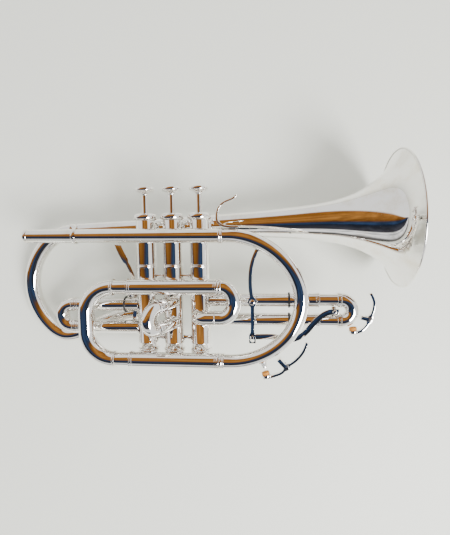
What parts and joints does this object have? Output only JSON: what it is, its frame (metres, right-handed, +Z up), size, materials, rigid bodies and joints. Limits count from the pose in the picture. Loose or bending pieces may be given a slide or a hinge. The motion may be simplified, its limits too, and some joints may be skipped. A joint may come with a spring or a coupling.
{
  "type": "cornet",
  "caption": "Silver-plated brass cornet with a shepherd's crook, piston valves, pull-out tuning and valve slides, finger triggers and water keys.",
  "frame": {"origin": "centre of the bounding box's base, on the table that the instrument lies on", "axes": "+X towards the bell, +Z up from the table, +Y towards the bell tube's and finger buttons' side"},
  "size_m": [0.3538, 0.1958, 0.1209],
  "materials": {
    "silver_plate": "polished silver plate on brass",
    "spring_steel": "drawn spring wire",
    "cork": "turned cork",
    "bumper_rubber": "black moulded rubber ring"
  },
  "bodies": {
    "horn": {"bell": "silver_plate", "bell_crook": "silver_plate", "bottom_cap_1": "silver_plate", "bottom_cap_2": "silver_plate", "bottom_cap_3": "silver_plate", "casing_brace_12_lower": "silver_plate", "casing_brace_12_upper": "silver_plate", "casing_brace_23_lower": "silver_plate", "casing_brace_23_upper": "silver_plate", "crossover_bow": "silver_plate", "finger_hook": "silver_plate", "first_sleeve_lower": "silver_plate", "first_sleeve_upper": "silver_plate", "first_slide_bumper": "bumper_rubber", "first_trigger_post": "silver_plate", "leadpipe": "silver_plate", "leadpipe_bow": "silver_plate", "leadpipe_ferrule_lower": "silver_plate", "leadpipe_ferrule_upper": "silver_plate", "mouthpiece_receiver": "silver_plate", "second_sleeve_lower": "silver_plate", "second_sleeve_upper": "silver_plate", "third_sleeve_lower": "silver_plate", "third_sleeve_upper": "silver_plate", "third_trigger_post": "silver_plate", "top_cap_1": "silver_plate", "top_cap_2": "silver_plate", "top_cap_3": "silver_plate", "tuning_sleeve_lower": "silver_plate", "tuning_sleeve_upper": "silver_plate", "valve_casing_1": "silver_plate", "valve_casing_2": "silver_plate", "valve_casing_3": "silver_plate", "valve_spring_1": "spring_steel", "valve_spring_2": "spring_steel", "valve_spring_3": "spring_steel", "water_key_saddle_1": "silver_plate"},
    "valve_1": {"piston_1": "silver_plate", "valve_stem_1": "silver_plate", "finger_button_1": "silver_plate"},
    "valve_2": {"piston_2": "silver_plate", "valve_stem_2": "silver_plate", "finger_button_2": "silver_plate"},
    "valve_3": {"piston_3": "silver_plate", "valve_stem_3": "silver_plate", "finger_button_3": "silver_plate"},
    "tuning_slide": {"main_tuning_slide": "silver_plate"},
    "first_slide": {"first_slide": "silver_plate", "first_trigger_link": "silver_plate"},
    "first_trigger": {"first_trigger_lever": "silver_plate"},
    "second_slide": {"second_slide": "silver_plate"},
    "third_slide": {"third_slide": "silver_plate", "third_slide_brace": "silver_plate", "third_trigger_link": "silver_plate", "water_key_saddle_2": "silver_plate"},
    "third_trigger": {"third_trigger_lever": "silver_plate"},
    "water_key_1": {"water_key_lever_1": "silver_plate", "water_key_cork_1": "cork"},
    "water_key_2": {"water_key_lever_2": "silver_plate", "water_key_cork_2": "cork"}
  },
  "joints": [
    {"name": "valve_1_press", "type": "slide", "parent": "horn", "child": "valve_1", "axis": [0, -0.9885, -0.1513], "range_m": [0, 0.015], "stiffness_N_per_m": 250, "springref_m": -0.008, "deforming": ["valve_spring_1"]},
    {"name": "valve_2_press", "type": "slide", "parent": "horn", "child": "valve_2", "axis": [0, -0.9885, -0.1513], "range_m": [0, 0.015], "stiffness_N_per_m": 250, "springref_m": -0.008, "deforming": ["valve_spring_2"]},
    {"name": "valve_3_press", "type": "slide", "parent": "horn", "child": "valve_3", "axis": [0, -0.9885, -0.1513], "range_m": [0, 0.015], "stiffness_N_per_m": 250, "springref_m": -0.008, "deforming": ["valve_spring_3"]},
    {"name": "main_tuning_slide_pull", "type": "slide", "parent": "horn", "child": "tuning_slide", "axis": [-0.9899, 0.0214, -0.1401], "range_m": [0, 0.035]},
    {"name": "second_slide_pull", "type": "slide", "parent": "horn", "child": "second_slide", "axis": [-0.6855, -0.2819, 0.6712], "range_m": [0, 0.009]},
    {"name": "first_slide_throw", "type": "slide", "parent": "horn", "child": "first_slide", "axis": [-0.9899, 0.0214, -0.1401], "range_m": [0, 0.008], "stiffness_N_per_m": 120, "springref_m": -0.02},
    {"name": "first_trigger_swing", "type": "hinge", "parent": "horn", "child": "first_trigger", "pos_m": [-0.06831, -0.02461, 0.03388], "axis": [-0.1418, -0.1497, 0.9785], "range_deg": [-16, 0]},
    {"name": "third_slide_throw", "type": "slide", "parent": "horn", "child": "third_slide", "axis": [0.9899, -0.0214, 0.1401], "range_m": [0, 0.012], "stiffness_N_per_m": 150, "springref_m": -0.025},
    {"name": "third_trigger_swing", "type": "hinge", "parent": "horn", "child": "third_trigger", "pos_m": [0.03761, -0.03382, 0.06498], "axis": [-0.1418, -0.1497, 0.9785], "range_deg": [0, 22]},
    {"name": "water_key_1_open", "type": "hinge", "parent": "horn", "child": "water_key_1", "pos_m": [0.06473, -0.08729, 0.06931], "axis": [-0.1418, -0.1497, 0.9785], "range_deg": [0, 12], "stiffness_Nm_per_rad": 0.03, "springref_deg": -22.92},
    {"name": "water_key_2_open", "type": "hinge", "parent": "third_slide", "child": "water_key_2", "pos_m": [0.13635, -0.04994, 0.06721], "axis": [-0.1418, -0.1497, 0.9785], "range_deg": [0, 15], "stiffness_Nm_per_rad": 0.03, "springref_deg": -22.92}
  ],
  "couplings": [
    {"joint": "first_trigger_swing", "follows": "first_slide_throw", "rad_per_m": -33.868},
    {"joint": "third_trigger_swing", "follows": "third_slide_throw", "rad_per_m": 31.424}
  ]
}
